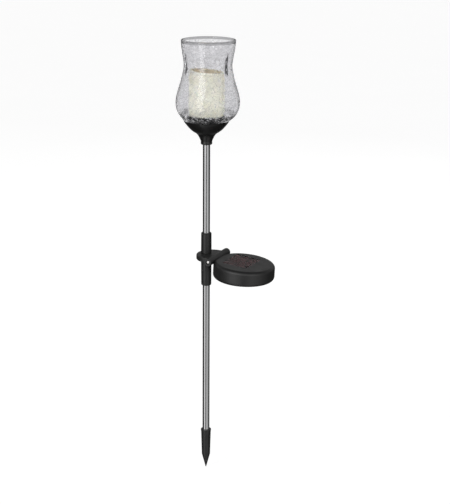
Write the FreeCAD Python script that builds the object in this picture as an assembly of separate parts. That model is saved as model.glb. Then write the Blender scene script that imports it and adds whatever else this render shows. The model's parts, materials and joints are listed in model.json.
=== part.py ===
"""Solar stake light: crackle-glass shade with an LED candle on a two-piece pole,
with a round solar panel on a swivelling, tilting bracket and a ground spike.

Frame: origin on the pole's axis at ground level, where the spike's lip rests on the
soil. +Z is up the pole, +X runs from the pole to the solar panel, and +Y runs along
the barrel of the panel's hinge. All lengths are millimetres, all angles degrees.
"""
import FreeCAD, Part
import math
import os

from FreeCAD import Vector

# --- driving dimensions: heights above the ground line ---
spike_depth = 73.0
spike_cone = 27.0
spike_lip = 3.5
lower_sleeve_bottom = 282.5
collar_mid = 336.6
upper_sleeve_top = 379.0
cup_bottom = 536.5
cup_rim = 578.0
glass_rim = 714.0
candle_bottom = 587.0
candle_top = 669.0

# --- pole, sleeves and spike ---
tube_radius = 6.35
tube_wall = 0.6
tube_inner = tube_radius - tube_wall
slip = 0.05
socket_radius = tube_radius + slip
sleeve_radius = 9.35
sleeve_end_radius = 9.0
upper_sleeve_end_radius = 9.15
sleeve_chamfer = 1.2
lip_radius = 9.3
spike_top_radius = 8.9
spike_low_radius = 7.6
spike_tip_radius = 0.6
spike_socket_depth = 38.0
flute_count = 4
flute_depth = 0.5
flute_width = 4.2

# --- swivel: journal on the lower sleeve, collar turning on it ---
collar_thickness = 10.0
collar_bottom = collar_mid - collar_thickness / 2
collar_top = collar_mid + collar_thickness / 2
collar_radius = 28.0
collar_offset = 11.7
collar_edge = 2.5
journal_radius = 7.4
neck_radius = 6.2
spigot_radius = tube_inner - slip
spigot_length = 19.0
lower_sleeve_top = collar_bottom - 0.3
lower_socket_top = lower_sleeve_top - 9.0
washer_bottom = collar_top + 0.2
washer_thickness = 0.8
upper_sleeve_bottom = washer_bottom + washer_thickness
groove_radius = 8.9
groove_depth = 3.8
tooth_half_angle = 7.0
tooth_height = 1.4
tooth_gap = 0.3
window_angle = -55.0

# --- hinge barrel ---
hinge_x = 22.0
hinge_z = collar_mid + 0.1
barrel_radius = 7.0
barrel_half = 38.7
barrel_seam = -9.0
seam_gap = 0.4
barrel_clearance = 0.45
near_knuckle_end = barrel_seam - seam_gap / 2
far_knuckle_start = barrel_seam + seam_gap / 2
screw_radius = 1.25
screw_slip = 0.1
screw_head_radius = 2.5
screw_head_height = 1.8
screw_cross_reach = 1.3
screw_recess_radius = 3.4
screw_recess_depth = 3.6
nut_y = 10.0
nut_width = 5.0
nut_thickness = 2.2
nut_bore_radius = 3.1
washer_radius = 2.9

# --- leads ---
lead_radius = 0.9
lead_channel_radius = 1.25
lead_z = collar_bottom + 2.4
lead_bend = 4.0
lead_bore_radius = 2.4

# --- solar panel ---
panel_x = 74.7
panel_radius = 53.9
panel_top = collar_mid
panel_thickness = 28.4
panel_seam = 19.6
panel_wall = 2.4
panel_edge_radius = 6.0
panel_base_radius = 6.5
panel_slope = 2.3
panel_droop = 2.7
cell_x = -6.8
cell_y = 3.6
cell_length = 46.0
cell_width = 58.2
cell_thickness = 1.2
cell_gap = 0.1
cell_wire_hole = 0.8
cell_wire_half_pitch = 6.0
cell_pocket_depth = 2.4
pocket_floor = 3.4
boss_circle = 44.0
boss_radius = 3.2
case_screw_head_radius = 2.6
case_screw_seat = panel_thickness - 2.6
gasket_inset = (0.8, 1.9)
gasket_thickness = 0.8
tongue_height = 2.5
tongue_inset = (panel_wall + 0.2, panel_wall + 1.6)
board_x = (-37.0, -4.0)
board_y = (-13.0, 13.0)
board_thickness = 1.6
board_top = panel_top - lead_z + lead_radius
battery_x = 12.0
battery_radius = 7.25
battery_length = 50.5
battery_depth = 16.2
door_length = 77.0
door_width = 23.0
door_thickness = 1.2
door_gap = 0.15
door_screw_y = 35.0
door_screw_head_radius = 2.3
bay_half_width = 9.0
bay_end_gap = 6.0
spring_wire = 0.4
spring_radius = 4.0
spring_turns = 5
switch_x = -26.0
switch_travel = 4.0
switch_half_width = 3.0
switch_half_length = 7.0
switch_depth = 6.0
knob_length = 4.0
knob_half_width = 1.3
slot_half_width = 1.6
slot_length = switch_travel + knob_length + 0.6

# --- lamp head ---
glass_wall = 3.0
glass_bead = 2.1
glass_rim_radius = 46.5
glass_foot_radius = 40.0
glass_foot_height = 0.8
glass_neck_radius = 34.4
glass_neck_inner = 31.8
glass_neck_depth = 3.2
seal_bottom = cup_rim - glass_neck_depth - 1.5
cup_floor = cup_rim - 13.5
cup_tube_end = cup_floor - 7.0
cup_collar_radius = 10.0
cup_collar_top = cup_bottom + 6.0
cup_shoulder_radius = 19.6
cup_shoulder = cup_bottom + 20.7
cup_rim_radius = 39.0
candle_radius = 30.3
candle_wall = 4.0
candle_web = 640.0
candle_slope = 4.0
base_radius = 31.4
base_foot_radius = 28.0
base_spigot_radius = candle_radius - candle_wall - 0.1
base_top = candle_bottom + 8.0
base_screw_circle = 16.0
base_boss_radius = 3.6
base_well_radius = 3.2
base_screw_seat = seal_bottom + 2.0
led_radius = 2.5
led_flange_radius = 2.9
led_height = 6.0
led_board_radius = 9.0
led_board_thickness = 1.6

X = Vector(1, 0, 0)
Y = Vector(0, 1, 0)
Z = Vector(0, 0, 1)
pole_line = Vector(0, 0, 0)
hinge_line = Vector(hinge_x, 0, hinge_z)


def cylinder(radius, bottom, top, x=0.0, y=0.0):
    """A vertical cylinder between two heights."""
    return Part.makeCylinder(radius, top - bottom, Vector(x, y, bottom))


def ring(outer, inner, bottom, top, x=0.0, y=0.0):
    """A vertical tube between two heights."""
    return cylinder(outer, bottom, top, x, y).cut(cylinder(inner, bottom, top, x, y))


def barrel(radius, start, end):
    """A cylinder on the hinge's axis between two places along Y."""
    return Part.makeCylinder(radius, end - start, Vector(hinge_x, start, hinge_z), Y)


def block(x, y, z):
    """A box from three (low, high) pairs."""
    size = [high - low for low, high in (x, y, z)]
    return Part.makeBox(size[0], size[1], size[2], Vector(x[0], y[0], z[0]))


def on_panel(x, y, depth):
    """A point given from the centre of the panel's top face."""
    return Vector(panel_x + x, y, panel_top - depth)


def panel_block(x, y, depth):
    """A box in the panel, with depths measured down from its top face."""
    low = (panel_top - depth[1], panel_top - depth[0])
    return block((panel_x + x[0], panel_x + x[1]), y, low)


def panel_cylinder(radius, shallow, deep, x=0.0, y=0.0):
    """A vertical cylinder in the panel between two depths."""
    return cylinder(radius, panel_top - deep, panel_top - shallow, panel_x + x, y)


def on_slope(shape):
    """Leans a shape from level to the slope of the panel's top face."""
    shape.rotate(on_panel(0, 0, 0), Y, panel_slope)
    return shape


def drum(radius, shallow, deep, edge_radius):
    """A round body in the panel whose top follows the sloping face, its top edge rounded."""
    reach = 2 * panel_radius
    headroom = panel_radius / 4
    body = panel_cylinder(radius, -headroom, deep)
    body = body.cut(on_slope(panel_block((-reach, reach), (-reach, reach), (-4 * headroom, shallow))))
    rims = [e for e in body.Edges if e.BoundBox.XLength > radius and e.BoundBox.ZLength > 0.5]
    return body.makeFillet(edge_radius, rims)


def cell_block(grow, shallow, deep):
    """A box as large as the solar cell, grown all round, set into the sloping face."""
    return on_slope(panel_block(
        (cell_x - cell_length / 2 - grow, cell_x + cell_length / 2 + grow),
        (cell_y - cell_width / 2 - grow, cell_y + cell_width / 2 + grow),
        (shallow, deep),
    ))


def point(radius, height):
    return Vector(radius, 0, height)


def lines(*places):
    """Straight edges through (radius, height) pairs."""
    spots = [point(*place) for place in places]
    return [Part.LineSegment(a, b).toShape() for a, b in zip(spots, spots[1:])]


def arc(start, middle, end):
    return Part.Arc(point(*start), point(*middle), point(*end)).toShape()


def spline(*places):
    """A smooth curve through (radius, height) pairs."""
    curve = Part.BSplineCurve()
    curve.interpolate([point(*place) for place in places])
    return curve.toShape()


def turned(edges, x=0.0):
    """Revolves a closed half section about the vertical line at x."""
    solid = Part.Face(Part.Wire(edges)).revolve(pole_line, Z, 360)
    solid.translate(Vector(x, 0, 0))
    return solid


def sector(outer, inner, bottom, top, middle_angle):
    """A short piece of ring, used as a stop tooth."""
    tooth = Part.makeCylinder(outer, top - bottom, Vector(0, 0, bottom), Z, 2 * tooth_half_angle)
    tooth.rotate(pole_line, Z, middle_angle - tooth_half_angle)
    return tooth.cut(cylinder(inner, bottom, top))


def pipe(radius, places, bend):
    """A round bar along straight runs joined by tangent arcs, all at one height."""
    spots = [Vector(x, y, z) for x, y, z in places]
    edges = []
    start = spots[0]
    for before, corner, after in zip(spots, spots[1:], spots[2:]):
        into = (corner - before).normalize()
        out = (after - corner).normalize()
        first = corner - into * bend
        last = corner + out * bend
        inward = (out - into).normalize()
        middle = corner + inward * bend * (math.sqrt(2) - 1)
        edges.append(Part.LineSegment(start, first).toShape())
        edges.append(Part.Arc(first, middle, last).toShape())
        start = last
    edges.append(Part.LineSegment(start, spots[-1]).toShape())
    heading = (spots[1] - spots[0]).normalize()
    section = Part.Wire(Part.makeCircle(radius, spots[0], heading))
    return Part.Wire(edges).makePipeShell([section], True, False)


def hexagon(width, bottom, top, x=0.0, y=0.0):
    """A vertical hexagonal bar with the given width across its flats."""
    corner = width / math.sqrt(3)
    turns = [math.radians(60 * k) for k in range(7)]
    corners = [Vector(x + corner * math.cos(t), y + corner * math.sin(t), bottom) for t in turns]
    return Part.Face(Part.makePolygon(corners)).extrude(Vector(0, 0, top - bottom))


def lay_on_hinge(shape, place_y):
    """Turns a part made along +Z from the origin so that it runs along the hinge."""
    shape.rotate(pole_line, X, -90)
    shape.translate(Vector(hinge_x, place_y, hinge_z))
    return shape


# --- the stake ---

def ground_spike():
    """Moulded spike: lip, fluted taper and cone point, with a socket for the pole."""
    cone_top = spike_cone - spike_depth
    body = turned(lines(
        (0, spike_lip),
        (lip_radius, spike_lip),
        (lip_radius, 1.0),
        (lip_radius - 0.2, 0),
        (spike_top_radius, 0),
        (spike_low_radius, cone_top),
        (spike_tip_radius, spike_tip_radius - spike_depth),
        (0, -spike_depth),
        (0, spike_lip),
    ))
    for k in range(flute_count):
        flute = block(
            (spike_low_radius - flute_depth, spike_top_radius + 1),
            (-flute_width / 2, flute_width / 2),
            (cone_top + 3, -6),
        )
        flute.rotate(pole_line, Z, (k + 0.5) * 360 / flute_count)
        body = body.cut(flute)
    return body.cut(cylinder(socket_radius, -spike_socket_depth, spike_lip))


def pole(bottom, top):
    """Thin stainless tube."""
    return ring(tube_radius, tube_inner, bottom, top)


def lower_pole():
    return pole(-spike_socket_depth, lower_socket_top)


def upper_pole():
    return pole(upper_sleeve_bottom, cup_tube_end)


def lower_sleeve():
    """Sleeve with the journal that the collar turns on and a spigot up into the pole."""
    low = sleeve_end_radius
    body = turned(lines(
        (0, lower_sleeve_bottom),
        (low - sleeve_chamfer, lower_sleeve_bottom),
        (low, lower_sleeve_bottom + sleeve_chamfer),
        (sleeve_radius, lower_sleeve_top),
        (neck_radius, lower_sleeve_top),
        (neck_radius, collar_bottom + groove_depth),
        (journal_radius, collar_bottom + groove_depth),
        (journal_radius, upper_sleeve_bottom),
        (spigot_radius, upper_sleeve_bottom),
        (spigot_radius, upper_sleeve_bottom + spigot_length),
        (0, upper_sleeve_bottom + spigot_length),
        (0, lower_sleeve_bottom),
    ))
    tooth_top = collar_bottom + tooth_height
    body = body.fuse(sector(groove_radius - tooth_gap, neck_radius - 0.5, lower_sleeve_top, tooth_top, 180))
    body = body.cut(cylinder(socket_radius, lower_sleeve_bottom, lower_socket_top))
    body = body.cut(cylinder(lead_bore_radius, lower_socket_top, upper_sleeve_bottom + spigot_length))
    window = block((0, journal_radius), (-1.5, 1.5), (collar_bottom + 1.5, collar_bottom + groove_depth))
    window.rotate(pole_line, Z, window_angle)
    return body.cut(window)


def upper_sleeve():
    high = upper_sleeve_end_radius
    body = turned(lines(
        (socket_radius, upper_sleeve_bottom),
        (sleeve_radius, upper_sleeve_bottom),
        (high, upper_sleeve_top - sleeve_chamfer),
        (high - sleeve_chamfer, upper_sleeve_top),
        (socket_radius, upper_sleeve_top),
        (socket_radius, upper_sleeve_bottom),
    ))
    return body


def swivel_washer():
    return ring(sleeve_radius - 0.4, journal_radius + 0.2, washer_bottom, upper_sleeve_bottom)


# --- the lamp head ---

def lamp_cup():
    """Flared cup on a waisted stem, with a ledge for the glass and three screw bosses."""
    outside = lines(
        (0, cup_bottom),
        (cup_collar_radius - 1.2, cup_bottom),
        (cup_collar_radius, cup_bottom + 1.2),
        (cup_collar_radius - 0.2, cup_collar_top),
    )
    outside.append(spline(
        (cup_collar_radius - 0.2, cup_collar_top),
        (12.3, cup_collar_top + 5.5),
        (15.4, cup_shoulder - 3.8),
        (cup_shoulder_radius, cup_shoulder),
    ))
    outside.append(spline(
        (cup_shoulder_radius, cup_shoulder),
        (28.4, cup_rim - 14.2),
        (33.2, cup_rim - 8.9),
        (37.2, cup_rim - 3.7),
        (cup_rim_radius, cup_rim - 0.8),
    ))
    outside += lines(
        (cup_rim_radius, cup_rim - 0.8),
        (cup_rim_radius - 0.6, cup_rim),
        (0, cup_rim),
        (0, cup_bottom),
    )
    inner_rim = glass_neck_radius + 0.2
    ledge = glass_neck_inner - 0.4
    hollow = lines((0, cup_rim), (inner_rim, cup_rim), (inner_rim, seal_bottom), (ledge, seal_bottom))
    hollow.append(spline((ledge, seal_bottom), (28.6, cup_floor + 4.6), (24.0, cup_floor)))
    hollow += lines((24.0, cup_floor), (0, cup_floor), (0, cup_rim))
    body = turned(outside).cut(turned(hollow))
    body = body.cut(cylinder(socket_radius, cup_bottom, cup_tube_end))
    body = body.cut(cylinder(lead_bore_radius, cup_tube_end, cup_floor))
    boss_top = seal_bottom - 2.0
    for x, y in base_screw_places():
        body = body.fuse(cylinder(base_boss_radius, cup_floor - 0.5, boss_top, x, y))
        body = body.cut(cylinder(screw_radius + slip, cup_floor - 3.0, boss_top, x, y))
    return body


def base_screw_places():
    turns = [math.radians(90 + 120 * k) for k in range(3)]
    return [(base_screw_circle * math.cos(t), base_screw_circle * math.sin(t)) for t in turns]


def glass_outline(inset):
    """The tulip curve of the shade, moved in from its outside by inset."""
    return spline(
        (glass_foot_radius - inset, cup_rim + glass_foot_height),
        (50.0 - inset, cup_rim + 12.6),
        (54.7 - inset, cup_rim + 29.0),
        (48.6 - inset, cup_rim + 60.0),
        (43.2 - inset, cup_rim + 81.0),
        (41.5 - inset, cup_rim + 94.0),
        (44.0 - inset, glass_rim - 22.0),
        (glass_rim_radius - inset, glass_rim - 4.0),
    )


def glass_shade():
    """Blown shade: bead rim, waist, belly and a short neck that sits in the cup."""
    foot = glass_foot_radius
    foot_top = cup_rim + glass_foot_height
    neck_bottom = cup_rim - glass_neck_depth
    rim_low = glass_rim - 4.0
    rim_inner = glass_rim_radius - glass_wall
    edges = [glass_outline(0), glass_outline(glass_wall)]
    edges += lines(
        (glass_rim_radius, rim_low),
        (glass_rim_radius, glass_rim),
        (rim_inner, glass_rim),
        (rim_inner, rim_low),
    )
    edges += lines(
        (foot - glass_wall, foot_top),
        (glass_neck_inner, cup_rim - 1.0),
        (glass_neck_inner, neck_bottom),
        (glass_neck_radius, neck_bottom),
        (glass_neck_radius, cup_rim + 0.1),
        (foot - 1.2, cup_rim + 0.1),
        (foot, foot_top),
    )
    body = turned(Part.__sortEdges__(edges))
    bead = Part.makeTorus(glass_rim_radius + 0.2 - glass_bead, glass_bead, Vector(0, 0, glass_rim))
    return body.fuse(bead).removeSplitter()


def glass_seal():
    return ring(glass_neck_radius, glass_neck_inner - 0.3, seal_bottom, cup_rim - glass_neck_depth)


def candle_base():
    """Black pedestal under the candle, with a spigot inside it and three screw wells."""
    foot = seal_bottom - 2.0
    body = cylinder(base_foot_radius, foot, seal_bottom)
    body = body.fuse(cylinder(base_radius, seal_bottom, candle_bottom))
    body = body.fuse(cylinder(base_spigot_radius, candle_bottom, base_top)).removeSplitter()
    body = body.cut(cylinder(lead_bore_radius, foot, base_top))
    for x, y in base_screw_places():
        body = body.cut(cylinder(base_well_radius, base_screw_seat, base_top, x, y))
        body = body.cut(cylinder(screw_radius + 0.2, foot, base_top, x, y))
    return body


def base_screws():
    seat = base_screw_seat
    screws = []
    for x, y in base_screw_places():
        shaft = cylinder(screw_radius, cup_floor - 2.0, seat, x, y)
        screws.append(shaft.fuse(cylinder(case_screw_head_radius, seat, seat + 2.0, x, y)))
    return Part.makeCompound(screws)


def candle_shell():
    """Hollow wax pillar with a sunk, sloping top."""
    body = ring(candle_radius, candle_radius - candle_wall, candle_bottom, candle_top)
    web = cylinder(candle_radius - candle_wall, candle_web - 4.0, candle_web)
    body = body.fuse(web).removeSplitter()
    reach = 2 * candle_radius
    lid = block((-reach, reach), (-reach, reach), (candle_top - 3.0, candle_top + reach))
    lid.rotate(Vector(0, 0, candle_top - 3.0), Vector(-0.8, -0.6, 0), candle_slope)
    return body.cut(lid)


def led_board():
    return ring(led_board_radius, 0.5, base_top, base_top + led_board_thickness)


def candle_led():
    """Round LED with its flange, standing on its board."""
    bottom = base_top + led_board_thickness
    dome = bottom + led_height
    body = cylinder(led_radius, bottom, dome)
    body = body.fuse(Part.makeSphere(led_radius, Vector(0, 0, dome)))
    body = body.fuse(cylinder(led_flange_radius, bottom, bottom + 1.0))
    return body.removeSplitter()


def pole_lead():
    return cylinder(lead_radius, collar_bottom + 1.6, base_top)


# --- the swivelling collar ---

def trim_plate(plate, start, end, from_x):
    """Cuts the plate off past from_x between two places along Y."""
    return plate.cut(block((from_x, 3 * collar_radius), (start, end), (collar_bottom - 5, collar_top + 5)))


def swivel_collar():
    """Round plate on the journal, with the near knuckle of the hinge along one side."""
    plate = cylinder(collar_radius, collar_bottom, collar_top, collar_offset)
    rims = [e for e in plate.Edges if isinstance(e.Curve, Part.Circle)]
    plate = plate.makeFillet(collar_edge, rims)
    plate = trim_plate(plate, -60, barrel_seam, hinge_x)
    plate = trim_plate(plate, near_knuckle_end, 60, hinge_x - 4)
    plate = plate.cut(barrel(barrel_radius + barrel_clearance, near_knuckle_end, 60))
    knuckle = barrel(barrel_radius, -barrel_half, near_knuckle_end)
    end_rim = [e for e in knuckle.Edges if abs(e.CenterOfMass.y + barrel_half) < 0.01]
    body = plate.fuse(knuckle.makeChamfer(0.8, end_rim))
    body = body.cut(cylinder(journal_radius + slip, collar_bottom, collar_top))
    body = body.cut(cylinder(groove_radius, collar_bottom, collar_bottom + groove_depth))
    tooth_top = collar_bottom + tooth_height
    body = body.fuse(sector(groove_radius + 0.5, neck_radius + 0.5, collar_bottom, tooth_top, 0))
    body = body.cut(barrel(screw_radius + screw_slip, -barrel_half, near_knuckle_end))
    body = body.cut(barrel(screw_recess_radius, -barrel_half, screw_recess_depth - barrel_half))
    return body.cut(pipe(lead_channel_radius, collar_lead_route(), lead_bend))


def collar_lead_route():
    """From the swivel's groove, through the plate, to the hinge's seam."""
    return [
        (5.0, -6.6, lead_z),
        (5.0, -17.0, lead_z),
        (hinge_x - 3.0, -17.0, lead_z),
        (hinge_x - 3.0, near_knuckle_end, lead_z),
    ]


def collar_lead():
    return pipe(lead_radius, collar_lead_route(), lead_bend)


# --- the solar panel ---

def boss_places():
    turns = [math.radians(45 + 90 * k) for k in range(4)]
    return [(boss_circle * math.cos(t), boss_circle * math.sin(t)) for t in turns]


def panel_lead_route():
    """From the hinge's seam, under the hinge screw, to the circuit board."""
    return [
        (hinge_x - 3.0, far_knuckle_start, lead_z),
        (hinge_x - 3.0, 2.0, lead_z),
        (hinge_x + 21.0, 2.0, lead_z),
    ]


def panel_housing():
    """Upper shell: sloping top with the cell's pocket, rounded edge, side and far knuckle."""
    body = drum(panel_radius, 0, panel_seam, panel_edge_radius)
    body = body.cut(barrel(barrel_radius + barrel_clearance, -60, far_knuckle_start))
    cavity = drum(panel_radius - panel_wall, panel_wall, panel_seam, panel_edge_radius - panel_wall)
    cavity = cavity.cut(barrel(barrel_radius + panel_wall, -60, 60))
    cavity = cavity.cut(cell_block(2.0, 0, pocket_floor))
    for x, y in boss_places():
        cavity = cavity.cut(panel_cylinder(boss_radius, 0, panel_seam, x, y))
    body = body.cut(cavity)
    knuckle = barrel(barrel_radius, far_knuckle_start, barrel_half)
    end_rim = [e for e in knuckle.Edges if abs(e.CenterOfMass.y - barrel_half) < 0.01]
    body = body.fuse(knuckle.makeFillet(2.0, end_rim))
    body = body.cut(cell_block(cell_gap, -5, cell_pocket_depth))
    for side in (-1, 1):
        wire_x = cell_x + cell_wire_half_pitch * side
        body = body.cut(panel_cylinder(cell_wire_hole, 0, panel_seam / 2, wire_x, cell_y))
    for x, y in boss_places():
        body = body.cut(panel_cylinder(screw_radius + slip, 7, panel_seam, x, y))
    body = body.cut(barrel(screw_radius + screw_slip, far_knuckle_start, nut_y))
    body = body.cut(barrel(nut_bore_radius, nut_y, barrel_half))
    body = body.cut(barrel(5.3, far_knuckle_start, far_knuckle_start + 2.5))
    seat = barrel(washer_radius, far_knuckle_start + 0.9, far_knuckle_start + 2.6)
    body = body.fuse(seat.cut(barrel(screw_radius + screw_slip, far_knuckle_start, far_knuckle_start + 3)))
    return body.cut(pipe(lead_channel_radius, panel_lead_route(), lead_bend))


def panel_base():
    """Lower shell: floor, battery bay, door recess, switch slot and screw posts."""
    r = panel_radius
    f = panel_base_radius
    t = panel_thickness
    turn = f * (1 - math.sqrt(0.5))
    edges = lines((0, -panel_seam), (r, -panel_seam), (r, f - t))
    edges.append(arc((r, f - t), (r - turn, turn - t), (r - f, -t)))
    edges += lines((r - f, -t), (0, -t), (0, -panel_seam))
    body = turned(edges, panel_x)
    body.translate(Vector(0, 0, panel_top))
    hollow = panel_cylinder(r - panel_wall, panel_seam, t - panel_wall)
    floor_rim = [e for e in hollow.Edges if abs(e.CenterOfMass.z - (panel_top - t + panel_wall)) < 0.01]
    hollow = hollow.makeFillet(f - panel_wall, floor_rim)
    for x, y in boss_places():
        hollow = hollow.cut(panel_cylinder(boss_radius, panel_seam, t, x, y))
    body = body.cut(hollow)
    tongue_top = panel_seam - tongue_height
    tongue_end = panel_seam + 2.0
    tongue = panel_cylinder(r - tongue_inset[0], tongue_top, tongue_end)
    tongue = tongue.fuse(panel_cylinder(r - panel_wall + 0.1, panel_seam, tongue_end))
    tongue = tongue.cut(panel_cylinder(r - tongue_inset[1], tongue_top, tongue_end))
    for x, y in boss_places():
        tongue = tongue.cut(panel_cylinder(boss_radius + 0.4, 0, panel_seam, x, y))
    body = body.fuse(tongue)
    body = body.cut(case_gasket())
    wall_y = battery_length / 2 + bay_end_gap
    wall_x = (battery_x - bay_half_width, battery_x + bay_half_width)
    deep = t - panel_wall
    for side in (-1, 1):
        wall = sorted((side * wall_y, side * (wall_y + 1.6)))
        body = body.fuse(panel_block(wall_x, wall, (battery_depth - 7, deep)))
        post_y = side * door_screw_y
        body = body.fuse(panel_cylinder(boss_radius, panel_seam - 2, deep, battery_x, post_y))
        saddle = sorted((side * 14, side * 16))
        rib = panel_block(wall_x, saddle, (battery_depth, deep))
        cell = Part.makeCylinder(battery_radius + 0.1, 200, on_panel(battery_x, -100, battery_depth), Y)
        body = body.fuse(rib.cut(cell))
    body = body.cut(panel_block(
        (battery_x - door_width / 2, battery_x + door_width / 2),
        (-door_length / 2, door_length / 2),
        (t - door_thickness, t),
    ))
    body = body.cut(panel_block((battery_x - 8, battery_x + 8), (-30.5, 30.5), (deep - 1, t)))
    for side in (-1, 1):
        place = (battery_x, side * door_screw_y)
        body = body.cut(panel_cylinder(screw_radius + slip, panel_seam, t, *place))
    for x, y in boss_places():
        body = body.cut(panel_cylinder(screw_radius + 0.2, panel_seam - 3, t, x, y))
        body = body.cut(panel_cylinder(case_screw_head_radius + 0.3, case_screw_seat, t, x, y))
    return body.cut(switch_slot(deep - 1, t))


def switch_slot(shallow, deep):
    """The slot that the switch knob slides in, between two depths."""
    across = (switch_x - slot_half_width, switch_x + slot_half_width)
    return panel_block(across, (-slot_length / 2, slot_length / 2), (shallow, deep))


def case_gasket():
    outer, inner = gasket_inset
    deep = panel_seam + gasket_thickness
    band = panel_cylinder(panel_radius - outer, panel_seam, deep)
    return band.cut(panel_cylinder(panel_radius - inner, panel_seam, deep))


def case_screws():
    seat = case_screw_seat
    screws = []
    for x, y in boss_places():
        shaft = panel_cylinder(screw_radius, panel_seam - 8, seat, x, y)
        screws.append(shaft.fuse(panel_cylinder(case_screw_head_radius, seat, seat + 1.7, x, y)))
    return Part.makeCompound(screws)


def solar_cell():
    return cell_block(0, cell_pocket_depth - cell_thickness, cell_pocket_depth)


def cell_cover():
    """Clear resin poured over the cell, almost flush with the top face."""
    return cell_block(0, 0.1, cell_pocket_depth - cell_thickness)


def circuit_board():
    return panel_block(board_x, board_y, (board_top, board_top + board_thickness))


def board_parts():
    """Inductor, capacitor, driver chip and terminal block under the board."""
    top = board_top + board_thickness
    coil = panel_cylinder(4.0, top, top + 5.0, -12, 5)
    capacitor = panel_cylinder(2.5, top, top + 7.0, -12, -6)
    chip = panel_block((-24, -19), (-3, 3), (top, top + 1.5))
    terminal = panel_block((-34, -28), (-9, -1), (top, top + 4.0))
    return Part.makeCompound([coil, capacitor, chip, terminal])


def battery():
    """AA cell: can with a raised cap at one end."""
    start = -battery_length / 2
    body = Part.makeCylinder(battery_radius, battery_length - 1, on_panel(battery_x, start, battery_depth), Y)
    return body.fuse(Part.makeCylinder(2.7, battery_length, on_panel(battery_x, start, battery_depth), Y))


def battery_spring():
    """Coil between the battery's flat end and the bay's wall."""
    start = -battery_length / 2 - bay_end_gap
    length = bay_end_gap - 2 * spring_wire
    helix = Part.makeHelix(length / spring_turns, length, spring_radius)
    section = Part.Wire(Part.makeCircle(spring_wire, Vector(spring_radius, 0, 0), Y))
    coil = Part.Wire(helix).makePipeShell([section], True, True)
    coil.rotate(pole_line, X, -90)
    coil.translate(on_panel(battery_x, start + spring_wire, battery_depth))
    return coil


def battery_contact():
    """Sprung leaf that touches the battery's cap."""
    start = battery_length / 2
    end = start + bay_end_gap
    plate = panel_block((battery_x - 5, battery_x + 5), (end - 0.5, end), (battery_depth - 5, battery_depth + 5))
    tip = panel_block((battery_x - 2, battery_x + 2), (start, start + 0.5), (battery_depth - 5, battery_depth + 2))
    bridge = panel_block((battery_x - 2, battery_x + 2), (start, end), (battery_depth - 5, battery_depth - 4.5))
    return plate.fuse(tip).fuse(bridge).removeSplitter()


def battery_door():
    t = panel_thickness
    body = panel_block(
        (battery_x - door_width / 2 + door_gap, battery_x + door_width / 2 - door_gap),
        (-door_length / 2 + door_gap, door_length / 2 - door_gap),
        (t - door_thickness, t - 0.1),
    )
    for side in (-1, 1):
        place = (battery_x, side * door_screw_y)
        body = body.cut(panel_cylinder(screw_radius + 0.2, t - door_thickness, t, *place))
    return body


def door_screws():
    t = panel_thickness
    screws = []
    for side in (-1, 1):
        place = (battery_x, side * door_screw_y)
        shaft = panel_cylinder(screw_radius, panel_seam + 1, t - 0.1, *place)
        screws.append(shaft.fuse(panel_cylinder(door_screw_head_radius, t - 0.1, t + 1.0, *place)))
    return Part.makeCompound(screws)


def switch_body():
    deep = panel_thickness - panel_wall
    body = panel_block(
        (switch_x - switch_half_width, switch_x + switch_half_width),
        (-switch_half_length, switch_half_length),
        (deep - switch_depth, deep),
    )
    return body.cut(switch_slot(deep - 1, deep))


def switch_knob():
    """Ridged slider, standing at the off end of its slot."""
    deep = panel_thickness - panel_wall
    start = -(switch_travel + knob_length) / 2
    across = (switch_x - knob_half_width, switch_x + knob_half_width)
    body = panel_block(across, (start, start + knob_length), (deep - 0.7, panel_thickness + 0.8))
    for k in range(3):
        groove = (start + 0.6 + 1.1 * k, start + 1.2 + 1.1 * k)
        ridge = panel_thickness + 0.4
        body = body.cut(panel_block(across, groove, (ridge, ridge + 1)))
    return body


def hinge_screw():
    """Bright pan-head screw through both knuckles, head in the near recess."""
    seat = screw_recess_depth - barrel_half
    length = nut_y + nut_thickness + 1.0 - seat
    body = cylinder(screw_radius, 0, length)
    top = -screw_head_height
    head = cylinder(screw_head_radius, top, 0)
    rim = [e for e in head.Edges if abs(e.CenterOfMass.z - top) < 0.01]
    body = body.fuse(head.makeFillet(0.7, rim))
    reach = (-screw_cross_reach, screw_cross_reach)
    cross = block(reach, (-0.25, 0.25), (top, top + 0.8))
    cross = cross.fuse(block((-0.25, 0.25), reach, (top, top + 0.8)))
    return lay_on_hinge(body.cut(cross), seat)


def hinge_nut():
    nut = hexagon(nut_width, 0, nut_thickness).cut(cylinder(screw_radius + slip, 0, nut_thickness))
    return lay_on_hinge(nut, nut_y)


def hinge_plug():
    """Press-in plug that closes the nut's bore at the far end of the barrel."""
    return barrel(nut_bore_radius - slip, barrel_half - 5.0, barrel_half)


def friction_washer():
    start = far_knuckle_start + 0.1
    end = start + washer_thickness
    return barrel(washer_radius, start, end).cut(barrel(screw_radius + screw_slip, start, end))


def panel_lead():
    return pipe(lead_radius, panel_lead_route(), lead_bend)


STAKE = [
    ground_spike, lower_pole, lower_sleeve, upper_sleeve, swivel_washer, upper_pole,
    lamp_cup, glass_shade, glass_seal, candle_base, base_screws, candle_shell,
    led_board, candle_led, pole_lead,
]
COLLAR = [swivel_collar, collar_lead]
PANEL = [
    panel_housing, panel_base, case_gasket, case_screws, solar_cell, cell_cover,
    circuit_board, board_parts, battery, battery_spring, battery_contact, battery_door,
    door_screws, switch_body, switch_knob, hinge_screw, hinge_nut, hinge_plug,
    friction_washer, panel_lead,
]


def main():
    os.makedirs("parts", exist_ok=True)
    for make in STAKE + COLLAR + PANEL:
        shape = make()
        if make in PANEL:
            shape.rotate(hinge_line, Y, panel_droop)
        shape.exportStep("parts/" + make.__name__ + ".step")
        box = shape.BoundBox
        print(make.__name__, shape.isValid(), len(shape.Solids), round(shape.Volume, 1),
              [round(v, 1) for v in (box.XMin, box.XMax, box.YMin, box.YMax, box.ZMin, box.ZMax)])


main()
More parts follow.
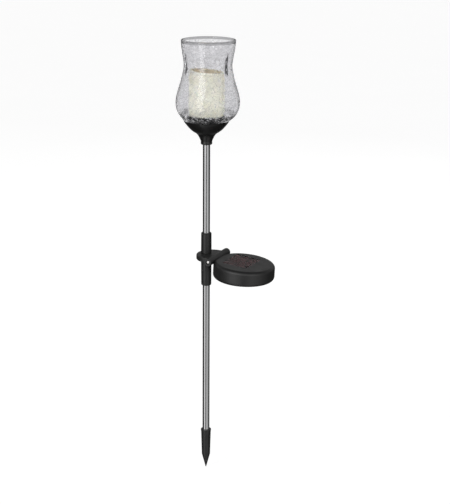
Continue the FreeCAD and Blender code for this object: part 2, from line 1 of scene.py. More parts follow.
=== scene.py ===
import json
import math

import bpy
import numpy as np
from mathutils import Euler, Matrix, Vector
from mathutils.kdtree import KDTree


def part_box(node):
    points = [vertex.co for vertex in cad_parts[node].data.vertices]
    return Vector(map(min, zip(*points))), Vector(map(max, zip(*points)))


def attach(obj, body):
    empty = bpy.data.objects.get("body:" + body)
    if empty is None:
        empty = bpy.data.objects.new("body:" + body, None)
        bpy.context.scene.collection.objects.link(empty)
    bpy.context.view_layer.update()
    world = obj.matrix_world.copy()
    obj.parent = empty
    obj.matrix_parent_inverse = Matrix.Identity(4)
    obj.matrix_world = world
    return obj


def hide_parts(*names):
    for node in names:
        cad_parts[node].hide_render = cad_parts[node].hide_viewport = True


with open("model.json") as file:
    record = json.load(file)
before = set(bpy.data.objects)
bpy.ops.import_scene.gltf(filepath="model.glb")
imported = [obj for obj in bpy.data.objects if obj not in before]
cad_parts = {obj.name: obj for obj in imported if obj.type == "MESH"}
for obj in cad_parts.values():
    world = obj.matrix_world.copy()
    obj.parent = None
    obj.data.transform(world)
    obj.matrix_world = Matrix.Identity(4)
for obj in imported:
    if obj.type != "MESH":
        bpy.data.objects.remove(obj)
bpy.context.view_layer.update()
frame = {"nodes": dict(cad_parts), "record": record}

MM = 0.001
NOT_ZERO = 1e-9
rng = np.random.default_rng(7)

# Places on the real pieces, taken from the frame.
glass_low, glass_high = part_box("glass_shade")
candle_low, candle_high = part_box("candle_shell")
cell_low, cell_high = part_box("solar_cell")
cup_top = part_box("lamp_cup")[1].z
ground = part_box("ground_spike")[0].z

RIM_CLEAR_FROM = glass_high.z - 5.2 * MM
FOOT_LOW = cup_top + 4.0 * MM
WAIST = cup_top + 94 * MM
# Two sides round the pole where the shade's waist takes painted dark streaks: dark reflections painted
# into its cracks.
DARK_STREAK_SIDES = (-33.5, 77.0)
STRIP_COUNT = 6
STRIP_PITCH = (cell_high.y - cell_low.y) / STRIP_COUNT
BATTERY_BAND_FROM = 13.0 * MM
BATTERY_BAND_BLEND = 0.5 * MM


def direction(azimuth, elevation):
    """A unit vector to a place seen from the pole, with azimuth 0 in front, along -Y."""
    level = math.cos(elevation)
    return Vector((math.sin(azimuth) * level, -math.cos(azimuth) * level, math.sin(elevation)))


# --- shader maths -------------------------------------------------------------

class Field:
    """A value that varies over a surface. Arithmetic on it adds Math nodes."""

    def __init__(self, look, socket):
        self.look = look
        self.socket = socket

    def math(self, operation, *values):
        return self.look.node("ShaderNodeMath", {"operation": operation}, *values)

    def __add__(self, other):
        return self.math("ADD", self, other)

    def __sub__(self, other):
        return self.math("SUBTRACT", self, other)

    def __rsub__(self, other):
        return self.math("SUBTRACT", other, self)

    def __mul__(self, other):
        return self.math("MULTIPLY", self, other)

    def __truediv__(self, other):
        return self.math("DIVIDE", self, other)

    def __pow__(self, other):
        return self.math("POWER", self, other)

    __radd__ = __add__
    __rmul__ = __mul__

    def sine(self):
        return self.math("SINE", self)

    def magnitude(self):
        return self.math("ABSOLUTE", self)

    def at_most(self, other):
        return self.math("MINIMUM", self, other)

    def step(self, low, high):
        """0 below low, 1 above high, and smooth between."""
        settings = {"interpolation_type": "SMOOTHSTEP"}
        return self.look.node("ShaderNodeMapRange", settings, self, low, high, 0.0, 1.0)


class Look:
    """One node tree, for a material or the world."""

    def __init__(self, tree):
        self.tree = tree
        tree.nodes.clear()

    def node(self, kind, settings, *values, out=0, **named):
        made = self.tree.nodes.new(kind)
        for key, value in settings.items():
            setattr(made, key, value)
        for index, value in enumerate(values):
            self.feed(made.inputs[index], value)
        for name, value in named.items():
            self.feed(made.inputs[name.replace("_", " ")], value)
        return Field(self, made.outputs[out])

    def feed(self, socket, value):
        if isinstance(value, Field):
            self.tree.links.new(value.socket, socket)
        elif value is not None:
            socket.default_value = value

    def place(self, stretch=(1.0, 1.0, 1.0)):
        """The point on the piece in its own frame, in metres, stretched along the axes."""
        point = self.node("ShaderNodeTexCoord", {}, out="Object")
        return self.node("ShaderNodeVectorMath", {"operation": "MULTIPLY"}, point, stretch)

    def axis(self, letter, vector=None):
        vector = vector or self.place()
        return self.node("ShaderNodeSeparateXYZ", {}, vector, out=letter)

    def noise(self, scale, detail=3.0, vector=None):
        vector = vector or self.place()
        return self.node("ShaderNodeTexNoise", {}, vector, Scale=scale, Detail=detail)

    def cracks(self, scale, vector=None, randomness=1.0):
        """Distance to the nearest edge of a field of shards: 0 on a crack."""
        vector = vector or self.place()
        settings = {"feature": "DISTANCE_TO_EDGE"}
        return self.node("ShaderNodeTexVoronoi", settings, vector, Scale=scale, Randomness=randomness)

    def shards(self, scale, vector=None):
        """A random value for each shard."""
        vector = vector or self.place()
        colour = self.node("ShaderNodeTexVoronoi", {}, vector, Scale=scale, out="Color")
        return self.node("ShaderNodeSeparateColor", {}, colour)

    def blend(self, factor, low, high):
        """From the low colour at 0 to the high colour at 1; a colour Mix keeps them in sockets 6 and 7."""
        settings = {"data_type": "RGBA", "clamp_factor": True}
        unused = [None] * 5
        return self.node("ShaderNodeMix", settings, factor, *unused, low, high, out=2)

    def facing(self, azimuth, inner, outer):
        """1 round the pole within inner degrees of an azimuth, 0 past outer degrees."""
        point = self.place()
        x = self.axis("X", point)
        y = self.axis("Y", point)
        side = math.radians(azimuth)
        radius = (x * x + y * y + NOT_ZERO) ** 0.5
        along = (x * math.sin(side) - y * math.cos(side)) / radius
        return along.step(math.cos(math.radians(outer)), math.cos(math.radians(inner)))

    def bump(self, height, strength, distance):
        return self.node("ShaderNodeBump", {}, Strength=strength, Distance=distance, Height=height)

    def surface(self, **sockets):
        return self.node("ShaderNodeBsdfPrincipled", {}, **sockets)

    def mix(self, factor, first, second):
        return self.node("ShaderNodeMixShader", {}, factor, first, second)

    def output(self, shader, kind="ShaderNodeOutputMaterial"):
        self.feed(self.tree.nodes.new(kind).inputs[0], shader)


def grey(value, warmth=0.0):
    """A grey of linear value, pushed a little toward red by warmth."""
    return (value * (1 + warmth), value, value * (1 - warmth), 1.0)


def material(name, build):
    """A material whose surface shader is what build makes of an empty tree."""
    made = bpy.data.materials.new(name)
    made.use_nodes = True
    look = Look(made.node_tree)
    look.output(build(look))
    return made


# --- finishes -----------------------------------------------------------------

def moulded(tone, roughness, grain, depth):
    """Black moulded plastic: fine spark texture, faint flow marks and handling smears."""
    def build(look):
        flow = look.noise(28.0, 2.0)
        fine = look.noise(grain, 2.0)
        smear = look.noise(60.0, 4.0, look.place((1.0, 1.0, 0.35)))
        colour = look.blend(flow * 0.7 + fine * 0.3, grey(tone * 0.78), grey(tone * 1.25, 0.01))
        rough = roughness - 0.05 + smear.step(0.35, 0.75) * 0.1 + fine * 0.04
        relief = look.bump(fine, depth, 0.0004)
        return look.surface(Base_Color=colour, Roughness=rough, Normal=relief, IOR=1.5)
    return build


def polished_tube(look):
    """Bright drawn stainless tube: lengthwise draw lines, soft haze and a few rub marks."""
    lines = look.noise(900.0, 2.0, look.place((1.0, 1.0, 0.012)))
    haze = look.noise(45.0, 3.0, look.place((1.0, 1.0, 0.3)))
    rubs = look.noise(260.0, 2.0, look.place((1.0, 1.0, 3.0))).step(0.62, 0.8)
    colour = look.blend(haze, (0.66, 0.66, 0.67, 1), (0.76, 0.76, 0.765, 1))
    rough = 0.12 + haze * 0.04 + lines * 0.02 + rubs * 0.03
    relief = look.bump(lines, 0.01, 0.0001)
    return look.surface(Base_Color=colour, Metallic=1.0, Roughness=rough, Normal=relief)


def plated(tone, roughness):
    """Small plated, blackened or bare metal parts with fine turning marks."""
    def build(look):
        fine = look.noise(1400.0, 3.0)
        stain = look.noise(220.0, 3.0)
        colour = look.blend(stain, grey(tone * 0.85, 0.01), grey(tone, 0.02))
        rough = roughness + fine * 0.08
        relief = look.bump(fine, 0.1, 0.0001)
        return look.surface(Base_Color=colour, Metallic=1.0, Roughness=rough, Normal=relief)
    return build


def glass_zones(look):
    """Where the shade's wall is crazed, where its foot takes painted glints and painted dark strokes, and
    where its waist takes painted dark streaks.
    """
    height = look.axis("Z")

    def band(low, full, fading, high):
        return height.step(low, full) * (1.0 - height.step(fading, high))

    wall = 1.0 - height.step(RIM_CLEAR_FROM, RIM_CLEAR_FROM + 1.5 * MM)
    foot = band(FOOT_LOW, FOOT_LOW + 3.0 * MM, FOOT_LOW + 8.0 * MM, FOOT_LOW + 11.0 * MM)
    waist = band(WAIST - 18 * MM, WAIST - 8 * MM, WAIST + 16 * MM, WAIST + 26 * MM)
    left, right = (look.facing(side, 2.0, 5.0) for side in DARK_STREAK_SIDES)
    return wall, foot, waist * (left + right)


def crackle_glass(look):
    """Clear blown glass whose wall is crazed with fine cracks; the fire-polished rim stays clear of cracks
    and is tinted darker, as painted shade for the thick bead. White flakes and black streaks mixed into
    the cracks are painted glints and painted dark reflections.
    """
    warp = look.node("ShaderNodeTexNoise", {}, look.place(), Scale=70.0, Detail=2.0, out="Color")
    wander = look.node("ShaderNodeVectorMath", {"operation": "SCALE"}, warp, Scale=0.006)
    point = look.node("ShaderNodeVectorMath", {"operation": "ADD"}, look.place(), wander)
    wall, foot, dark_streak_zone = glass_zones(look)

    wide = look.cracks(110.0, point)
    fine = look.cracks(300.0, point)
    patch = look.noise(60.0, 2.0, point).step(0.35, 0.65)
    wide_line = 1.0 - wide.step(0.008, 0.03)
    fine_line = (1.0 - fine.step(0.008, 0.045)) * (0.2 + patch * 0.8)
    lines = (wide_line * 0.8 + fine_line * 0.55).at_most(1.0) * wall
    where = look.noise(95.0, 2.0, look.place((1.0, 1.0, 0.45)))
    streak = look.noise(420.0, 2.0, look.place((1.0, 1.0, 0.22))).step(0.46, 0.53)
    stroke = 1.0 - look.cracks(105.0, look.place((1.0, 1.0, 1.9))).step(0.04, 0.1)
    # Painted dark reflections: streaks at the two sides of the waist, and strokes over the foot just above
    # the black cup.
    painted_dark = streak * dark_streak_zone * where.step(0.36, 0.46) + stroke * foot * where.step(0.38, 0.44)
    # Painted glints: white flakes over the wall, denser and brighter at the foot.
    glint_flakes = look.shards(420.0, point).step(0.93 - foot * 0.25, 0.98 - foot * 0.2) * wall

    shade = look.shards(300.0, point)
    tint = look.blend(shade, (0.74, 0.738, 0.75, 1), (0.92, 0.917, 0.93, 1))
    cracked = look.blend(lines, tint, (0.52, 0.52, 0.54, 1))
    # The clear rim takes a darker tint: painted shade for the thick bead.
    colour = look.blend(wall, (0.42, 0.42, 0.43, 1), cracked)
    relief = look.bump(wide.step(0.0, 0.06) * 0.6 + fine.step(0.0, 0.1) * 0.4, 0.16, 0.0002)
    clear = look.surface(
        Base_Color=colour, Roughness=0.015, IOR=1.45, Transmission_Weight=1.0, Normal=relief,
    )
    frost = look.surface(Base_Color=(0.62, 0.62, 0.66, 1), Roughness=0.35, Normal=relief)
    # White surface for the painted glints.
    spark = look.surface(Base_Color=(0.95, 0.95, 0.97, 1), Roughness=0.25, Normal=relief)
    # Near-black surface for the painted dark reflections.
    shadow = look.surface(Base_Color=(0.012, 0.012, 0.014, 1), Roughness=0.3, Normal=relief)
    crazed = look.mix(lines * 0.12, clear, frost)
    sparkling = look.mix(glint_flakes * (0.22 + foot * 0.4), crazed, spark)
    return look.mix(painted_dark.at_most(1.0) * 0.85, sparkling, shadow)


def wax(light, dark, inner):
    """Ivory wax: soft mottling, shallow pits, and a darker tan inside the pool of the top, painted shade
    of the recess.
    """
    def build(look):
        mottle = look.noise(75.0, 4.0)
        speck = look.noise(900.0, 2.0)
        pits = look.cracks(160.0).step(0.02, 0.2)
        colour = look.blend(mottle.step(0.3, 0.75), light, dark)
        recess_shade = look.node("ShaderNodeAttribute", {"attribute_name": "recess_shade"}, out="Fac")
        # Inside the pool the colour turns to the darker tan: painted shade of the recess.
        colour = look.blend(recess_shade, colour, inner)
        relief = look.bump(mottle * 0.6 + speck * 0.1 + pits * 0.2, 0.25, 0.0012)
        return look.surface(
            Base_Color=colour, Roughness=0.5 + speck * 0.12, Normal=relief,
            Subsurface_Weight=0.25, Subsurface_Radius=(0.006, 0.005, 0.0035), Subsurface_Scale=1.0,
        )
    return build


def cell_film(look):
    """Dark red-brown thin film, scribed into strips that run away from the hinge."""
    across = look.axis("Y")
    strips = ((across - cell_low.y) * (math.pi / STRIP_PITCH)).sine().magnitude()
    scribe = 1.0 - strips.step(0.08, 0.36)
    cloud = look.noise(120.0, 3.0, look.place((0.25, 1.0, 1.0)))
    film = look.blend(cloud, (0.0110, 0.0036, 0.0042, 1), (0.0150, 0.0046, 0.0054, 1))
    colour = look.blend(scribe, film, (0.004, 0.0028, 0.003, 1))
    rough = 0.22 + scribe * 0.2
    relief = look.bump(strips.step(0.0, 0.3), 0.15, 0.0002)
    return look.surface(
        Base_Color=colour, Roughness=rough, Normal=relief, Specular_IOR_Level=0.0,
    )


def clear_resin(look):
    """Poured clear resin with a faint ripple."""
    ripple = look.noise(50.0, 2.0)
    return look.surface(
        Base_Color=(0.98, 0.96, 0.95, 1), Roughness=0.06 + ripple * 0.06, IOR=1.07,
        Transmission_Weight=1.0, Normal=look.bump(ripple, 0.05, 0.0005),
    )


def rubbery(light, dark, roughness):
    """Silicone or wire jacket: dull, with a fine even grain."""
    def build(look):
        fine = look.noise(700.0, 3.0)
        colour = look.blend(fine, dark, light)
        rough = roughness + fine * 0.1
        return look.surface(Base_Color=colour, Roughness=rough, Normal=look.bump(fine, 0.15, 0.0002))
    return build


def solder_mask(look):
    """Green board with copper tracks under the mask."""
    point = look.place()
    grid = look.cracks(320.0, point, 0.2)
    tracks = 1.0 - grid.step(0.04, 0.12)
    colour = look.blend(tracks, (0.012, 0.09, 0.03, 1), (0.03, 0.19, 0.06, 1))
    rough = 0.3 + tracks * 0.08
    return look.surface(Base_Color=colour, Roughness=rough, Normal=look.bump(tracks, 0.2, 0.0002))


def clear_epoxy(look):
    """Warm, slightly cloudy epoxy of the LED's lens."""
    cloud = look.noise(400.0, 2.0)
    colour = look.blend(cloud, (0.95, 0.9, 0.74, 1), (1.0, 0.96, 0.85, 1))
    rough = 0.08 + cloud * 0.05
    return look.surface(Base_Color=colour, Roughness=rough, Transmission_Weight=0.8, IOR=1.5)


def printed_sleeve(look):
    """Plain two-tone shrink sleeve of the battery."""
    band = look.axis("Y").step(BATTERY_BAND_FROM, BATTERY_BAND_FROM + BATTERY_BAND_BLEND)
    fine = look.noise(500.0, 2.0)
    colour = look.blend(band, (0.05, 0.16, 0.08, 1), (0.55, 0.55, 0.53, 1))
    rough = 0.25 + fine * 0.1
    return look.surface(Base_Color=colour, Roughness=rough, Normal=look.bump(fine, 0.06, 0.0002))


FINISHES = {
    "spike_black": moulded(0.014, 0.42, 1500.0, 0.25),
    "sleeve_black": moulded(0.014, 0.38, 1700.0, 0.18),
    "collar_black": moulded(0.02, 0.4, 1700.0, 0.18),
    "cup_black": moulded(0.008, 0.3, 1500.0, 0.12),
    "base_black": moulded(0.01, 0.5, 1300.0, 0.2),
    "panel_black": moulded(0.017, 0.37, 1900.0, 0.25),
    "switch_black": moulded(0.03, 0.45, 1500.0, 0.2),
    "knob_black": moulded(0.045, 0.4, 1500.0, 0.2),
    "board_parts": moulded(0.05, 0.4, 1500.0, 0.2),
    "screw_black": plated(0.05, 0.35),
    "pole_steel": polished_tube,
    "washer_steel": plated(0.06, 0.4),
    "screw_steel": plated(0.5, 0.3),
    "screw_bright": plated(0.92, 0.12),
    "contact_nickel": plated(0.6, 0.2),
    "crackle_glass": crackle_glass,
    "silicone": rubbery((0.5, 0.5, 0.5, 1), (0.4, 0.4, 0.4, 1), 0.4),
    "lead_black": rubbery((0.03, 0.03, 0.03, 1), (0.015, 0.015, 0.015, 1), 0.45),
    # The third colour is the painted shade inside the candle's pool.
    "candle_wax": wax((0.93, 0.92, 0.78, 1), (0.87, 0.86, 0.70, 1), (0.72, 0.64, 0.46, 1)),
    "board_green": solder_mask,
    "led_epoxy": clear_epoxy,
    "cell_film": cell_film,
    "cell_resin": clear_resin,
    "battery_wrap": printed_sleeve,
}
finishes = {slot: material(slot, build) for slot, build in FINISHES.items()}


def dress_frame():
    """Every CAD node takes the finish of its own slot."""
    for entry in frame["record"]["subparts"]:
        for slot in frame["nodes"][entry["node"]].material_slots:
            slot.material = finishes[entry["material_slot"]]


# --- turned meshes ------------------------------------------------------------

def smooth_curve(points, count):
    """A natural cubic through the points, spaced by distance: an array of count rows."""
    points = np.asarray(points, float)
    gaps = np.hypot(*np.diff(points, axis=0).T)
    at = np.concatenate([[0.0], np.cumsum(gaps)])
    size = len(at)
    system = np.zeros((size, size))
    right = np.zeros((size, 2))
    system[0, 0] = system[-1, -1] = 1.0
    for k in range(1, size - 1):
        system[k, k - 1] = gaps[k - 1]
        system[k, k] = 2 * (gaps[k - 1] + gaps[k])
        system[k, k + 1] = gaps[k]
        right[k] = 6 * ((points[k + 1] - points[k]) / gaps[k] - (points[k] - points[k - 1]) / gaps[k - 1])
    second = np.linalg.solve(system, right)
    rows = []
    for s in np.linspace(0.0, at[-1], count):
        k = min(int(np.searchsorted(at, s, "right")) - 1, size - 2)
        h = gaps[k]
        a = (at[k + 1] - s) / h
        b = 1.0 - a
        bend = ((a**3 - a) * second[k] + (b**3 - b) * second[k + 1]) * h * h / 6
        rows.append(a * points[k] + b * points[k + 1] + bend)
    return np.array(rows)


def arc(centre, radius, start, end, count):
    """Points on an arc in (radius, height), from angle start to end in degrees."""
    turns = np.radians(np.linspace(start, end, count))
    return np.stack([centre[0] + radius * np.cos(turns), centre[1] + radius * np.sin(turns)], -1)


def full_turn(count):
    """Angles of count even steps round the pole."""
    return np.linspace(0, 2 * math.pi, count, endpoint=False)


def outward(turns):
    """A level unit vector away from the pole for each angle."""
    return np.stack([np.cos(turns), np.sin(turns)], -1)


def lathe(name, outline, around, closed=True):
    """A mesh of the outline turned about the pole's axis; returns it with its grid of points."""
    turns = full_turn(around)
    radius = outline[:, 0][:, None]
    grid = np.stack([
        radius * np.cos(turns),
        radius * np.sin(turns),
        np.repeat(outline[:, 1][:, None], around, 1),
    ], -1)
    rows = len(outline)
    faces = []
    last = rows if closed else rows - 1
    for i in range(last):
        j = (i + 1) % rows
        for k in range(around):
            n = (k + 1) % around
            faces.append((i * around + k, i * around + n, j * around + n, j * around + k))
    if not closed:
        faces.append(tuple(reversed(range(around))))
        faces.append(tuple((rows - 1) * around + k for k in range(around)))
    mesh = bpy.data.meshes.new(name)
    mesh.from_pydata(grid.reshape(-1, 3).tolist(), [], faces)
    mesh.polygons.foreach_set("use_smooth", [True] * len(mesh.polygons))
    piece = bpy.data.objects.new(name, mesh)
    bpy.context.scene.collection.objects.link(piece)
    return piece, grid


def set_points(piece, grid):
    """Move the turned mesh's points to those of the grid."""
    piece.data.vertices.foreach_set("co", grid.reshape(-1).astype(np.float32))
    piece.data.update()


def adopt(piece, node, body, slot):
    """The piece stands for a CAD node, rides its body and takes its slot's finish."""
    piece.data.materials.append(finishes[slot])
    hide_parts(node)
    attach(piece, body)


# --- crackle-glass shade ------------------------------------------------------

WALL = 3.0 * MM
BEAD = 2.1 * MM
RIM_RADIUS = 46.5 * MM
NECK_OUTER = 34.4 * MM
NECK_INNER = 31.8 * MM
NECK_CORNER = 0.5 * MM
SHADE_OUT_OF_TRUE = 0.25 * MM
SHARD_COUNT = 2600
SHARD_LIFT = 0.05 * MM
SHARD_TILT = 0.022
SHARD_MOST = 0.3 * MM
SEAT_PLAY = 1.6 * MM
SEAT_LEAN = 0.0087
SEAT_AZIMUTH = math.radians(117.175)
GLASS_AROUND = 300
GLASS_ROWS = 170


def glass_outline():
    """Closed outline of the wall: up the outside, over the bead, down the inside and the neck."""
    rim = glass_high.z - BEAD
    low = glass_low.z
    above_cup = np.array([
        (40.0, 0.8),
        (50.0, 12.6),
        (54.7, 29.0),
        (48.6, 60.0),
        (43.2, 81.0),
        (41.5, 94.0),
        (44.0, 114.0),
        (46.5, 132.0),
    ]) * MM
    up = smooth_curve(above_cup + np.array([0.0, cup_top]), GLASS_ROWS)
    down = (up - np.array([WALL, 0.0]))[::-1][2:]
    bead = arc((RIM_RADIUS + 0.2 * MM - BEAD, rim), BEAD, -40, 215, 15)
    neck = np.array([
        (NECK_INNER + NECK_CORNER, cup_top - NECK_CORNER),
        (NECK_INNER, cup_top - 1.4 * MM),
        (NECK_INNER, low + NECK_CORNER),
        (NECK_INNER + NECK_CORNER, low),
        (NECK_OUTER - NECK_CORNER, low),
        (NECK_OUTER, low + NECK_CORNER),
        (NECK_OUTER, cup_top + 0.1 * MM),
        (NECK_OUTER + 3.4 * MM, cup_top + 0.1 * MM),
    ])
    return np.concatenate([up, bead, down, neck])


def shard_relief(outline, grid):
    """How far each point of the wall's outside stands proud, shard by shard; 0 elsewhere."""
    rows = len(outline)
    picks = rng.integers(6, GLASS_ROWS - 4, SHARD_COUNT)
    spins = rng.uniform(0, 2 * math.pi, SHARD_COUNT)
    seeds = np.column_stack([outline[picks, 0][:, None] * outward(spins), outline[picks, 1]])
    tree = KDTree(SHARD_COUNT)
    for index, seed in enumerate(seeds):
        tree.insert(seed, index)
    tree.balance()
    lift = rng.uniform(-1, 1, SHARD_COUNT) * SHARD_LIFT
    lean = rng.normal(0, SHARD_TILT, (SHARD_COUNT, 3))
    relief = np.zeros((rows, GLASS_AROUND))
    for i in range(GLASS_ROWS):
        for k in range(GLASS_AROUND):
            _, nearest, _ = tree.find(Vector(grid[i, k]))
            relief[i, k] = lift[nearest] + lean[nearest] @ (grid[i, k] - seeds[nearest])
    row = np.arange(rows)
    fade = np.clip(np.minimum(row - 3, GLASS_ROWS - 3 - row) / 6, 0, 1)
    return np.clip(relief, -SHARD_MOST, SHARD_MOST) * fade[:, None]


def glass_shade():
    """Hand-blown wall, a little out of true, off centre on its seat, its outside in facets."""
    outline = glass_outline()
    piece, grid = lathe("shade_glass", outline, GLASS_AROUND)
    turns = full_turn(GLASS_AROUND)
    height = ((outline[:, 1] - glass_low.z) / (glass_high.z - glass_low.z))[:, None]
    wobble = SHADE_OUT_OF_TRUE * np.clip(height * 4, 0, 1) * (
        np.sin(2 * turns + 5 * height) + 0.6 * np.sin(3 * turns - 7 * height + 1.0)
    )
    push = wobble + shard_relief(outline, grid)
    grid[..., :2] += push[..., None] * outward(turns)
    rise = grid[..., 2] - cup_top
    seated = np.clip(rise / (5 * MM), 0, 1)
    slide = seated * (SEAT_PLAY + SEAT_LEAN * rise)
    grid[..., :2] += slide[..., None] * np.array(direction(SEAT_AZIMUTH, 0.0)[:2])
    set_points(piece, grid)
    adopt(piece, "glass_shade", "stake", "crackle_glass")


# --- candle -------------------------------------------------------------------

CANDLE_AROUND = 220
CANDLE_WALL = 4.0 * MM
CANDLE_TOP = candle_high.z - 4.9 * MM
FOOT_ROUND = 1.2 * MM
LIP_ROUND = CANDLE_WALL / 2
LIP_STEPS_OUTSIDE = 9
POOL_ROUND = 3.0 * MM
POOL_FLOOR = candle_high.z - 29.0 * MM
MELT_FROM = POOL_FLOOR + 6.0 * MM
MELT_DEPTH = 1.6 * MM
SIDE_WAVE = 0.35 * MM
AXIS_GAP = 0.5 * MM
RIM_DIP_FROM = math.radians(-63.0)


def melted_rim(turns):
    """Height of the rim above or below its mean, all the way round."""
    turn = turns - RIM_DIP_FROM
    return MM * (-2.7 * np.sin(turn) - 0.5 * np.cos(2 * turn) + 0.5 * np.sin(3 * turn + 0.4))


def candle():
    """Wax pillar with a melted, uneven rim and a sunk pool in the top."""
    radius = candle_high.x
    low = candle_low.z
    inner = radius - CANDLE_WALL
    pool_top = POOL_FLOOR + POOL_ROUND

    def upright(at, start, finish, count):
        return np.stack([np.full(count, at), np.linspace(start, finish, count)], -1)

    base = [(AXIS_GAP, low), (radius - FOOT_ROUND, low)]
    foot = arc((radius - FOOT_ROUND, low + FOOT_ROUND), FOOT_ROUND, -80, -10, 5)
    side = upright(radius, low + FOOT_ROUND, CANDLE_TOP - LIP_ROUND, 60)
    lip = arc((radius - LIP_ROUND, CANDLE_TOP - LIP_ROUND), LIP_ROUND, 0, 180, 16)[1:]
    bowl = upright(inner, CANDLE_TOP - 3.0 * MM, pool_top, 24)
    pool = arc((inner - POOL_ROUND, pool_top), POOL_ROUND, 0, -90, 7)[1:]
    flat = np.stack([np.linspace(inner - 5.0 * MM, AXIS_GAP, 14), np.full(14, POOL_FLOOR)], -1)
    outline = np.concatenate([base, foot, side, lip, bowl, pool, flat])

    piece, grid = lathe("candle_pillar", outline, CANDLE_AROUND, closed=False)
    turns = full_turn(CANDLE_AROUND)
    out, height = outline[:, 0][:, None], outline[:, 1][:, None]
    share = np.clip((height - MELT_FROM) / (CANDLE_TOP - MELT_FROM), 0, 1)
    grid[..., 2] += share**1.6 * melted_rim(turns)
    wave = SIDE_WAVE * np.sin(3 * turns + height * 60) * (out > inner)
    melt = -MELT_DEPTH * share**3 * (0.5 + 0.5 * np.sin(2 * turns + 1.0))
    off_axis = out > 1 * MM
    grid[..., :2] += ((wave + melt) * off_axis)[..., None] * outward(turns)
    set_points(piece, grid)

    first_inside = len(base) + len(foot) + len(side) + LIP_STEPS_OUTSIDE
    # Points from the inside of the lip down into the pool are marked for the painted recess shade.
    recess_shade = np.zeros(len(outline))
    recess_shade[first_inside:] = 1.0
    recess_shade[first_inside - 3:first_inside] = (0.25, 0.5, 0.75)
    mark = piece.data.attributes.new("recess_shade", "FLOAT", "POINT")
    mark.data.foreach_set("value", np.repeat(recess_shade, CANDLE_AROUND).astype(np.float32))
    adopt(piece, "candle_shell", "stake", "candle_wax")


# --- resin over the cell ------------------------------------------------------

RESIN_LIFT = 0.04 * MM


def resin_cover():
    """The clear cover, raised by a hair so that its underside lies clear of the film's top."""
    mesh = frame["nodes"]["cell_cover"].data.copy()
    mesh.materials.clear()
    mesh.transform(Matrix.Translation((0.0, 0.0, RESIN_LIFT)))
    piece = bpy.data.objects.new("resin_cover", mesh)
    bpy.context.scene.collection.objects.link(piece)
    adopt(piece, "cell_cover", "panel", "cell_resin")


# --- studio -------------------------------------------------------------------

CAMERA_AZIMUTH = math.radians(27.175)
CAMERA_DISTANCE = 2.1384
CAMERA_HEIGHT = 1.0479 + ground
CAMERA_PITCH = math.radians(16.462)
CAMERA_YAW = 0.01544
CAMERA_ROLL = math.radians(0.364)
FOCAL_IN_FRAME_HEIGHTS = 1262.46 / 504
SENSOR = 36.0
SHADE_STRIP_POWER = 42.0
FLOOR_REACH = 60.0
FLOOR_DROP = 0.2 * MM

# Patches of light in the room: azimuth from the camera's side, full within and gone past these
# degrees of it, strength, and the elevations between which the patch rises and falls off.
ROOM_LIGHTS = (
    (-30.0, 10.0, 17.0, 1.2, (-11.0, -9.5), (42.0, 55.0)),
    (-46.0, 12.0, 24.0, 0.85, None, (30.0, 60.0)),
    (25.0, 9.0, 20.0, 0.5, None, (25.0, 50.0)),
    (56.0, 12.0, 32.0, 0.34, None, (25.0, 50.0)),
    (-8.0, 20.0, 60.0, 0.06, None, (20.0, 45.0)),
    (-8.0, 40.0, 80.0, 0.95, (-6.0, 2.0), (26.0, 40.0)),
    (180.0, 10.0, 24.0, 0.12, None, (-11.0, -9.0)),
    (180.0, 60.0, 120.0, 0.28, (0.0, 12.0), (30.0, 55.0)),
)
ROOM_DIM = 0.04
BACKDROP = 0.97
TENT_EXTRA = 1.55


def camera():
    data = bpy.data.cameras.new("camera")
    data.sensor_width = SENSOR
    data.lens = SENSOR * FOCAL_IN_FRAME_HEIGHTS
    data.clip_end = 100.0
    eye = bpy.data.objects.new("camera", data)
    eye.location = direction(CAMERA_AZIMUTH, 0.0) * CAMERA_DISTANCE + Vector((0, 0, CAMERA_HEIGHT))
    aim = Euler((math.pi / 2 - CAMERA_PITCH, 0.0, CAMERA_AZIMUTH - CAMERA_YAW)).to_matrix()
    eye.rotation_euler = (aim @ Matrix.Rotation(CAMERA_ROLL, 3, "Z")).to_euler()
    bpy.context.scene.collection.objects.link(eye)
    bpy.context.scene.camera = eye


def area_light(name, azimuth, elevation, distance, size, power, aim):
    """A soft box at a place seen from the camera's side, turned to what it aims at."""
    data = bpy.data.lights.new(name, "AREA")
    data.shape = "RECTANGLE"
    data.size, data.size_y = size
    data.energy = power
    lamp = bpy.data.objects.new(name, data)
    bearing = direction(CAMERA_AZIMUTH + math.radians(azimuth), math.radians(elevation))
    lamp.location = aim + bearing * distance
    lamp.rotation_euler = (lamp.location - aim).to_track_quat("Z", "Y").to_euler()
    lamp.visible_camera = False
    lamp.visible_glossy = False
    lamp.visible_transmission = False
    bpy.context.scene.collection.objects.link(lamp)
    return lamp


def shade_strip():
    """Tall soft box that only the glass mirrors, as a streak down its left."""
    waist = Vector((0.0, 0.0, WAIST))
    lamp = area_light("shade_strip", -28, 8, 2.4, (0.95, 3.5), SHADE_STRIP_POWER, waist)
    lamp.visible_glossy = True
    lamp.visible_diffuse = False
    lit = bpy.data.collections.new("lit_by_shade_strip")
    lit.objects.link(bpy.data.objects["shade_glass"])
    lamp.light_linking.receiver_collection = lit


def floor():
    """Plain pale floor, near white, that still takes a soft shadow."""
    mesh = bpy.data.meshes.new("floor")
    corners = ((-1, -1), (1, -1), (1, 1), (-1, 1))
    points = [(x * FLOOR_REACH, y * FLOOR_REACH, ground - FLOOR_DROP) for x, y in corners]
    mesh.from_pydata(points, [], [(0, 1, 2, 3)])
    piece = bpy.data.objects.new("floor", mesh)
    bpy.context.scene.collection.objects.link(piece)

    def pale(look):
        cloth = look.noise(3.0, 3.0)
        tone = look.blend(cloth, grey(0.26), grey(0.3))
        return look.surface(
            Base_Color=tone, Roughness=0.9,
            Emission_Color=grey(1.0), Emission_Strength=0.86,
        )
    mesh.materials.append(material("floor_pale", pale))
    piece.visible_glossy = False
    piece.visible_diffuse = False


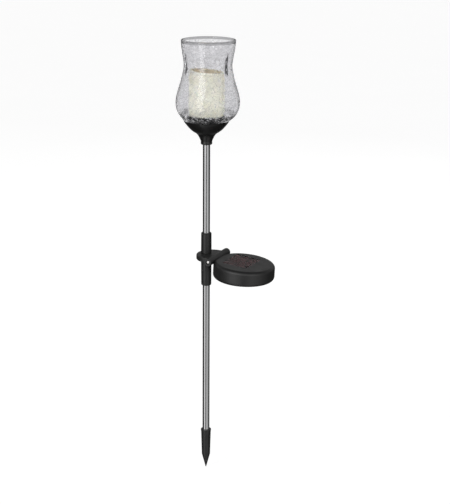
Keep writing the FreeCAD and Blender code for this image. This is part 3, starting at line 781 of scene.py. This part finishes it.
def studio_world():
    """A dim room with soft patches of light, which only its own reflections and bounces meet.

    The camera, and rays through the clear pieces, see a plain white backdrop. Past one diffuse
    bounce those rays see it brighter, as a light tent, so what lies under glass or resin is lit.
    """
    world = bpy.data.worlds.new("studio")
    world.use_nodes = True
    bpy.context.scene.world = world
    look = Look(world.node_tree)
    heading = look.node("ShaderNodeTexCoord", {}, out="Generated")
    x, y, z = (look.axis(letter, heading) for letter in "XYZ")
    level = (x * x + y * y + 0.0001) ** 0.5

    def sector(azimuth, inner, outer):
        """1 within inner degrees of an azimuth measured from the camera's side, 0 past outer."""
        facing = direction(CAMERA_AZIMUTH + math.radians(azimuth), 0.0)
        along = (x * facing.x + y * facing.y) / level
        return along.step(math.cos(math.radians(outer)), math.cos(math.radians(inner)))

    def above(low, high):
        return z.step(math.sin(math.radians(low)), math.sin(math.radians(high)))

    room = ROOM_DIM
    for azimuth, inner, outer, strength, rises, falls in ROOM_LIGHTS:
        patch = sector(azimuth, inner, outer) * (1.0 - above(*falls))
        if rises:
            patch = patch * above(*rises)
        room = room + patch * strength
    through = look.node("ShaderNodeLightPath", {}, out="Is Transmission Ray")
    seen_white = look.node("ShaderNodeLightPath", {}, out="Is Camera Ray") + through
    bounced = look.node("ShaderNodeLightPath", {}, out="Diffuse Depth").at_most(1.0)
    tent = BACKDROP + bounced * TENT_EXTRA
    white = look.node("ShaderNodeCombineColor", {}, tent, tent, tent)
    glow = look.node("ShaderNodeBackground", {}, look.blend(seen_white, room, white), 1.0)
    look.output(glow, "ShaderNodeOutputWorld")


def studio():
    floor()
    studio_world()
    middle = Vector((0.0, 0.0, 0.35))
    area_light("key_left", -48, 30, 2.6, (0.9, 1.6), 20, middle)
    area_light("fill_right", 60, 25, 2.8, (0.8, 1.6), 12, middle)
    area_light("back_soft", 170, 30, 2.6, (1.2, 1.6), 12, middle)
    shade_strip()
    camera()
    bpy.context.scene.view_settings.view_transform = "Standard"


dress_frame()
glass_shade()
candle()
resin_cover()
studio()
